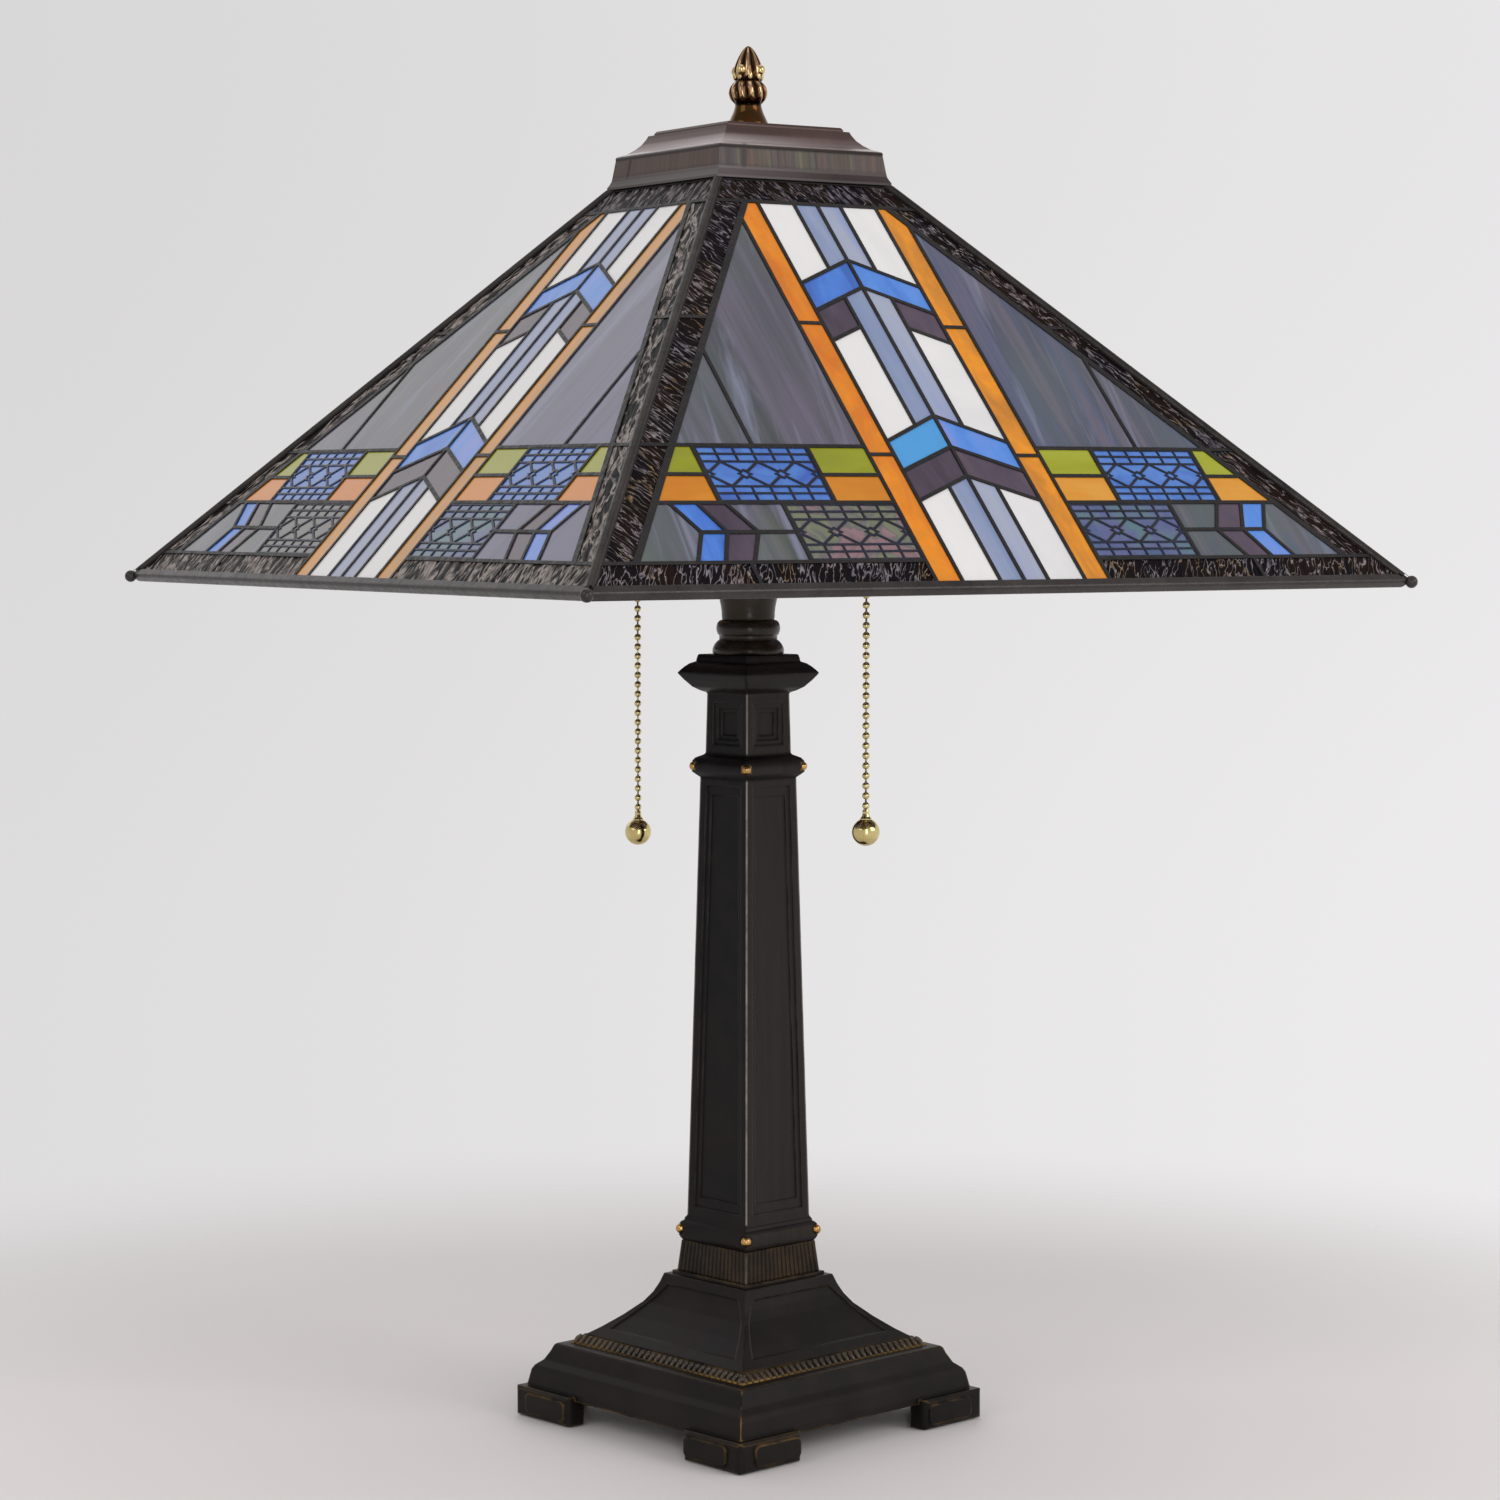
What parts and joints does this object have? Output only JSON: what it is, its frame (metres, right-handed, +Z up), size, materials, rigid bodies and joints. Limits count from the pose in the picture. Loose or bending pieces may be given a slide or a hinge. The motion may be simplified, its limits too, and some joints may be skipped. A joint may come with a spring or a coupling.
{
  "type": "stained glass table lamp",
  "caption": "Table lamp with a square, sloped shade of leaded coloured glass on a cast bronze-finish column, with pull-chain sockets and a finial.",
  "frame": {"origin": "on the lamp's axis at the surface it stands on", "axes": "+Z up the lamp's axis; the base is square to X and Y; the sockets and pull chains are on +X and -X; -Y is the front"},
  "size_m": [0.4798, 0.4798, 0.61],
  "materials": {
    "bronze": "dark bronze patina, worn at the edges",
    "worn_bronze": "dark bronze, golden on the raised beads",
    "cup_bronze": "brown bronze, satin",
    "felt": "felt",
    "iron": "raw cast iron",
    "zinc_steel": "yellow zinc plated",
    "black_plastic": "moulded, matt",
    "stud_brass": "small, worn bright",
    "cluster_brass": "antique brass",
    "screw_brass": "rolled brass",
    "phenolic": "brown moulding",
    "bulb_cap": "spun",
    "bulb": "frosted",
    "chain_brass": "polished",
    "knob_brass": "polished",
    "cap_metal": "brown bronze patina, brushed",
    "plate_metal": "brown bronze, satin",
    "lead": "dark patina on solder",
    "seam": "dark patina, soft shine",
    "screen_metal": "dark pressed metal",
    "white_glass": "opalescent, faint streaks",
    "lilac_glass": "opalescent lilac",
    "orange_glass": "mottled orange",
    "amber_glass": "streaked amber",
    "lime_glass": "streaked lime",
    "blue_glass": "streaked blue",
    "purple_glass": "dark purple",
    "slate_glass": "streaked slate",
    "sky_glass": "sky blue behind the screen",
    "teal_glass": "dark teal behind the screen",
    "ripple_glass": "dark, deeply rippled",
    "finial_brass": "antique, glossy",
    "insert_brass": "turned"
  },
  "bodies": {
    "stand": {"plinth_casting": "bronze", "felt_pads": "felt", "base_weight": "iron", "base_washer": "zinc_steel", "base_locknut": "zinc_steel", "cord_bushing": "black_plastic", "rope_rail": "worn_bronze", "fluted_band": "bronze", "column_casting": "bronze", "capital_casting": "bronze", "corner_studs": "stud_brass", "neck_ring": "bronze", "bead_ring": "worn_bronze", "neck_cup": "cup_bronze", "lamp_pipe": "zinc_steel", "cluster_body": "cluster_brass", "cluster_arms": "cluster_brass", "socket_caps": "cluster_brass", "socket_shells": "cluster_brass", "socket_liners": "phenolic", "socket_screws": "screw_brass", "chain_guides": "cluster_brass", "bulb_bases": "bulb_cap", "bulb_glass": "bulb", "riser_rod": "zinc_steel", "riser_nut": "zinc_steel", "rest_disc": "zinc_steel"},
    "shade": {"shade_cap": "cap_metal", "cap_plate": "plate_metal", "lead_front": "lead", "lead_right": "lead", "lead_back": "lead", "lead_left": "lead", "hip_beads": "seam", "rim_channels": "seam", "rim_balls": "seam", "glass_white": "white_glass", "glass_lilac": "lilac_glass", "glass_orange": "orange_glass", "glass_amber": "amber_glass", "glass_lime": "lime_glass", "glass_blue": "blue_glass", "glass_purple": "purple_glass", "glass_slate": "slate_glass", "glass_sky": "sky_glass", "glass_teal": "teal_glass", "glass_ripple": "ripple_glass", "screens": "screen_metal"},
    "finial_nut": {"finial_insert": "insert_brass"},
    "finial_top": {"finial": "finial_brass"},
    "stub_right": {"stub_right": "chain_brass"},
    "stub_left": {"stub_left": "chain_brass"},
    "pull_right": {"chain_right": "chain_brass", "bell_right": "knob_brass", "knob_right": "knob_brass"},
    "pull_left": {"chain_left": "chain_brass", "bell_left": "knob_brass", "knob_left": "knob_brass"}
  },
  "joints": [
    {"name": "shade_turn", "type": "hinge", "parent": "stand", "child": "shade", "pos_m": [0, 0, 0.45], "axis": [0, 0, 1], "continuous": true},
    {"name": "finial_rise", "type": "slide", "parent": "stand", "child": "finial_nut", "axis": [0, 0, 1], "range_m": [0, 0.0047]},
    {"name": "finial_turn", "type": "hinge", "parent": "finial_nut", "child": "finial_top", "pos_m": [0, 0, 0.58], "axis": [0, 0, 1], "range_deg": [0, 1800]},
    {"name": "pull_right", "type": "slide", "parent": "stand", "child": "stub_right", "axis": [0, 0, -1], "range_m": [0, 0.008], "stiffness_N_per_m": 400, "springref_m": -0.01},
    {"name": "pull_left", "type": "slide", "parent": "stand", "child": "stub_left", "axis": [0, 0, -1], "range_m": [0, 0.008], "stiffness_N_per_m": 400, "springref_m": -0.01},
    {"name": "swing_right", "type": "hinge", "parent": "stub_right", "child": "pull_right", "pos_m": [0.074, 0, 0.4136], "axis": [0, 1, 0], "range_deg": [-15, 15]},
    {"name": "swing_left", "type": "hinge", "parent": "stub_left", "child": "pull_left", "pos_m": [-0.074, 0, 0.4136], "axis": [0, 1, 0], "range_deg": [-15, 15]}
  ],
  "couplings": [
    {"joint": "finial_turn", "follows": "finial_rise", "rad_per_m": 6684.2}
  ]
}
